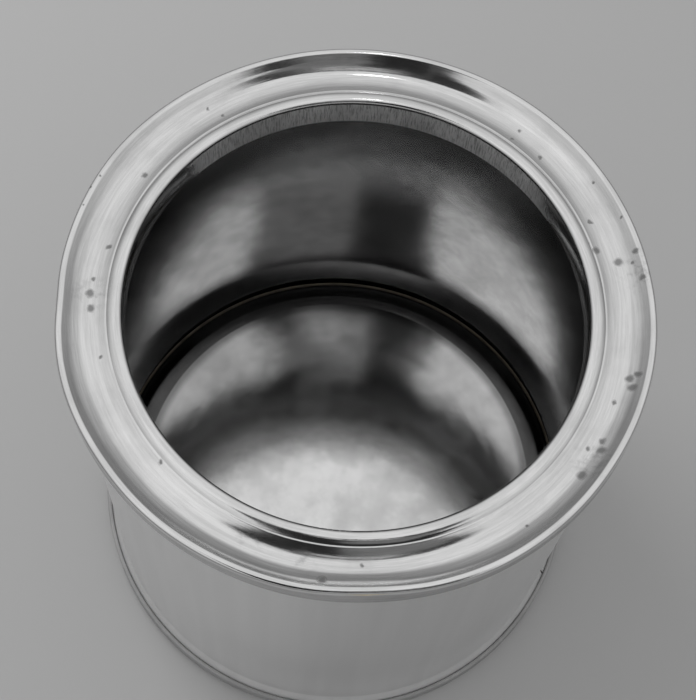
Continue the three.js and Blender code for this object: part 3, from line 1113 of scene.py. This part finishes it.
# %% Sealing compound
COMPOUND_CLOUD = (900, 4, 0.6)
COMPOUND_DARK = (0.40, 0.35, 0.26, 1)
COMPOUND_LIGHT = (0.52, 0.46, 0.36, 1)
COMPOUND_ROUGHNESS = (0.75, 0.92)
COMPOUND_GRAIN_DEPTH = 0.02 * MM


def compound_finish():
    """Matt, grainy compound."""
    material, tree, shader = new_material("sealing_compound")
    grain = cloud(tree, object_place(tree), *COMPOUND_CLOUD)
    shade = tree.nodes.new("ShaderNodeValToRGB")
    for element, position, colour in zip(shade.color_ramp.elements, CLOUD_RANGE,
                                         (COMPOUND_DARK, COMPOUND_LIGHT)):
        element.position = position
        element.color = colour
    roughness = remap(tree, grain, *CLOUD_RANGE, *COMPOUND_ROUGHNESS)
    relief = bump(tree, grain, COMPOUND_GRAIN_DEPTH)
    tree.links.new(grain, shade.inputs["Fac"])
    link_surface(tree, shader, shade.outputs["Color"], roughness, relief)
    return material


compound = compound_finish()
for node_name in ("top_seam_compound", "bottom_seam_compound"):
    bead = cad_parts[node_name]
    for slot in bead.material_slots:
        slot.material = compound
    print(node_name, "slots:", len(bead.material_slots))

# %% [markdown]
# ## Paper and ceiling
# A mirror shows its surroundings, so the surroundings are part of the finish. The can stands on
# plain pale paper under a ceiling that is brighter overhead than at the horizon. The ceiling is
# the world's light, which costs less than a room. The camera sees an even tone in its place.

# %% Paper
PAPER_SIZE = 3.0
PAPER_TONE = 0.47
PAPER_ROUGHNESS = 0.9
PAPER_GLOSS = 0.1


def paper_material():
    """Matt, pale paper."""
    material, _, shader = new_material("paper")
    shader.inputs["Roughness"].default_value = PAPER_ROUGHNESS
    shader.inputs["Specular IOR Level"].default_value = PAPER_GLOSS
    shader.inputs["Base Color"].default_value = (PAPER_TONE, PAPER_TONE, PAPER_TONE, 1)
    return material


bm = bmesh.new()
bmesh.ops.create_grid(bm, x_segments=1, y_segments=1, size=PAPER_SIZE / 2)
paper = piece_from(bm, "paper", paper_material())

# %% Ceiling light
SKY_RISE = (0.1, 0.9, 0.22, 0.76)
BACKDROP_TONE = 0.36


def sky_world():
    """A world that is brighter overhead than at the horizon, and plain where the camera sees it."""
    world = bpy.data.worlds.new("soft ceiling")
    world.use_nodes = True
    tree = world.node_tree
    z = split(tree, tree.nodes.new("ShaderNodeTexCoord").outputs["Generated"])[2]
    sky = remap(tree, z, *SKY_RISE)
    seen = tree.nodes.new("ShaderNodeLightPath").outputs["Is Camera Ray"]
    tree.links.new(mixed(tree, sky, BACKDROP_TONE, seen),
                   tree.nodes["Background"].inputs["Strength"])
    tree.nodes["Background"].inputs["Color"].default_value = (1, 1, 1, 1)
    print("world:", world.name)
    return world


bpy.context.scene.world = sky_world()

# %% [markdown]
# ## Cards
# The room has darker parts, a window and a small bright thing, and the tin mirrors them. They
# could be modelled, but a reflection in wavy tin only needs a tone and an outline. So plain cards
# with soft edges hang over the can: dark and grey ones where the room is darker, a bright one for
# the window, and a tiny one for the glint in the channel. They glow by themselves, and are seen
# only in reflections.

# %% Soft cards
MOUTH = Vector((0, 0, CAN_HEIGHT))
OVAL = 2
DOWN = Vector((0, 0, -1))


def card_material(name, strength, soft, power):
    """A glow that fades out towards the card's edge. A higher power squares its outline."""
    material = bpy.data.materials.new(name)
    material.use_nodes = True
    tree = material.node_tree
    tree.nodes.clear()
    spot = tree.nodes.new("ShaderNodeUVMap")
    spot.uv_map = "card"
    u, v = split(tree, spot.outputs["UV"])[:2]
    u_part = maths(tree, "POWER", maths(tree, "ABSOLUTE", u), power)
    v_part = maths(tree, "POWER", maths(tree, "ABSOLUTE", v), power)
    from_middle = maths(tree, "POWER", maths(tree, "ADD", u_part, v_part), 1 / power)
    cover = remap(tree, from_middle, 1 - soft, 1, 1, 0)
    glow = tree.nodes.new("ShaderNodeEmission")
    glow.inputs["Strength"].default_value = strength
    clear = tree.nodes.new("ShaderNodeBsdfTransparent")
    blend = tree.nodes.new("ShaderNodeMixShader")
    output = tree.nodes.new("ShaderNodeOutputMaterial")
    tree.links.new(cover, blend.inputs["Fac"])
    tree.links.new(clear.outputs["BSDF"], blend.inputs[1])
    tree.links.new(glow.outputs["Emission"], blend.inputs[2])
    tree.links.new(blend.outputs["Shader"], output.inputs["Surface"])
    return material


def soft_card(name, place, facing, half_wide, half_high, strength, soft, power=OVAL):
    """A glowing card with soft edges, seen only in reflections."""
    bm = bmesh.new()
    bmesh.ops.create_grid(bm, x_segments=1, y_segments=1, size=1)
    uv_layer = bm.loops.layers.uv.new("card")
    for face in bm.faces:
        for loop in face.loops:
            loop[uv_layer].uv = loop.vert.co.xy
    bmesh.ops.scale(bm, vec=(half_wide, half_high, 1), verts=bm.verts)
    turned = facing.to_track_quat("Z", "Y").to_matrix().to_4x4()
    bmesh.ops.transform(bm, matrix=Matrix.Translation(place) @ turned, verts=bm.verts)
    piece = piece_from(bm, name, card_material(name, strength, soft, power))
    piece.visible_camera = False
    piece.visible_diffuse = False
    piece.visible_shadow = False
    print(f"{name}: {2 * half_wide / MM:.0f} by {2 * half_high / MM:.0f} mm")


def hood(name, middle, half_wide, half_high, strength, soft, height, power):
    """A card that lies level above the mouth, its place and half sizes in millimetres."""
    place = MOUTH + Vector((*middle, height)) * MM
    soft_card(name, place, DOWN, half_wide * MM, half_high * MM, strength, soft, power)


# %% Cards over the can
SQUARE = 6
ROUNDED = 4
GLINT_PLACE = MOUTH + Vector((-1.5, 50.5, 40)) * MM
GLINT_FACING = Vector((0, -0.425, 0.905))

# Name, place, half width, half height, glow, soft share of the edge, height and outline
hood("dark_card", (28, -182), 150, 112, 0.015, 0.10, 350, SQUARE)
hood("far_dark_card", (75, -300), 212, 84, 0.015, 0.10, 352, SQUARE)
hood("farthest_dark_card", (90, -480), 280, 112, 0.02, 0.12, 354, SQUARE)
hood("grey_card", (92, -220), 80, 114, 0.17, 0.25, 345, ROUNDED)
hood("near_grey_card", (27, -112), 58, 17, 0.55, 0.45, 342, ROUNDED)
soft_card("glint_card", GLINT_PLACE, GLINT_FACING, 2.6 * MM, 3.0 * MM, 9.0, 0.5)

# %% Window card
WINDOW_DISTANCE = 0.40
WINDOW_HALF_WIDTH = math.radians(20)
WINDOW_HALF_HEIGHT = math.radians(16)


def direction(azimuth, elevation):
    """The unit vector at an azimuth and elevation in degrees."""
    lift = math.radians(elevation)
    return Vector(polar(math.cos(lift), math.radians(azimuth), math.sin(lift)))


window_place = MOUTH + direction(190, 66) * WINDOW_DISTANCE
soft_card("window_card", window_place, MOUTH - window_place,
          WINDOW_DISTANCE * math.tan(WINDOW_HALF_WIDTH),
          WINDOW_DISTANCE * math.tan(WINDOW_HALF_HEIGHT), 0.85, 0.7)

# %% [markdown]
# ## Window light
# The ceiling alone would leave the can without a side to its shadow. One weak, wide lamp from
# the left and behind gives the paper a soft shadow. It is kept out of reflections, where a card
# already stands for the window.

# %% Window light
LIGHT_DISTANCE = 0.45
LIGHT_PLACE = direction(140, 50) * LIGHT_DISTANCE
LIGHT_SIZE = 0.22
LIGHT_POWER = 0.55

lamp_data = bpy.data.lights.new("window_light", "AREA")
lamp_data.shape = "DISK"
lamp_data.size = LIGHT_SIZE
lamp_data.energy = LIGHT_POWER
lamp = bpy.data.objects.new("window_light", lamp_data)
bpy.context.collection.objects.link(lamp)
lamp_aim = (-LIGHT_PLACE).to_track_quat("-Z", "Y").to_matrix().to_4x4()
lamp.matrix_world = Matrix.Translation(LIGHT_PLACE) @ lamp_aim
lamp.visible_glossy = False
print(f"lamp {LIGHT_SIZE} m wide, {LIGHT_PLACE.length:.2f} m away, {LIGHT_POWER} W")
